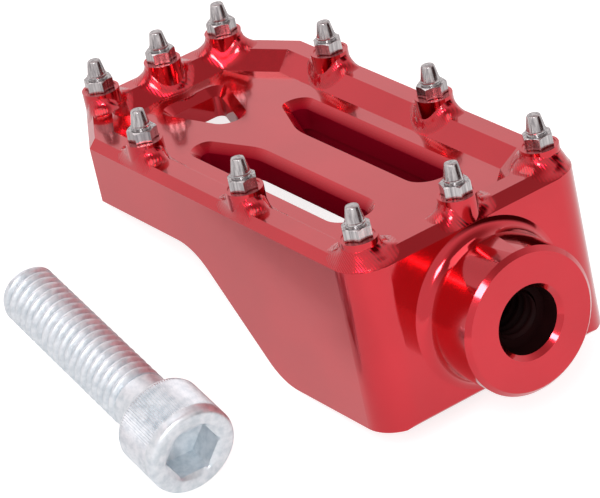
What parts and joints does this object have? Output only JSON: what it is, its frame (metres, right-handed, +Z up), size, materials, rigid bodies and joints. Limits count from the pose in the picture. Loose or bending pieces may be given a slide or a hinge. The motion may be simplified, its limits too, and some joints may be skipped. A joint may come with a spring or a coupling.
{
  "type": "motorcycle brake pedal",
  "caption": "Foot pad of a motorcycle brake pedal, with a raised rim, through slots, screwed traction pins and a round threaded boss at its end, and the cap screw that fixes it.",
  "frame": {"origin": "centre of the boss's end face, on the axis of its threaded bore", "axes": "+X along the bore, out of the boss, so the toe is at -X; +Z up out of the deck towards the pins' tips; +Y completes the frame, across the pad"},
  "size_m": [0.0962, 0.0731, 0.0374],
  "materials": {
    "anodised_body": "bright dipped and glossy, anodised red",
    "stainless_pin": "turned bright stainless steel",
    "plated_screw": "bright zinc plated, faintly blue"
  },
  "bodies": {
    "root": {"pedal_body": "anodised_body", "traction_pin_1": "stainless_pin", "traction_pin_2": "stainless_pin", "traction_pin_3": "stainless_pin", "traction_pin_4": "stainless_pin", "traction_pin_5": "stainless_pin", "traction_pin_6": "stainless_pin", "traction_pin_7": "stainless_pin", "traction_pin_8": "stainless_pin", "traction_pin_9": "stainless_pin", "traction_pin_10": "stainless_pin", "lever_screw": "plated_screw"}
  },
  "joints": []
}
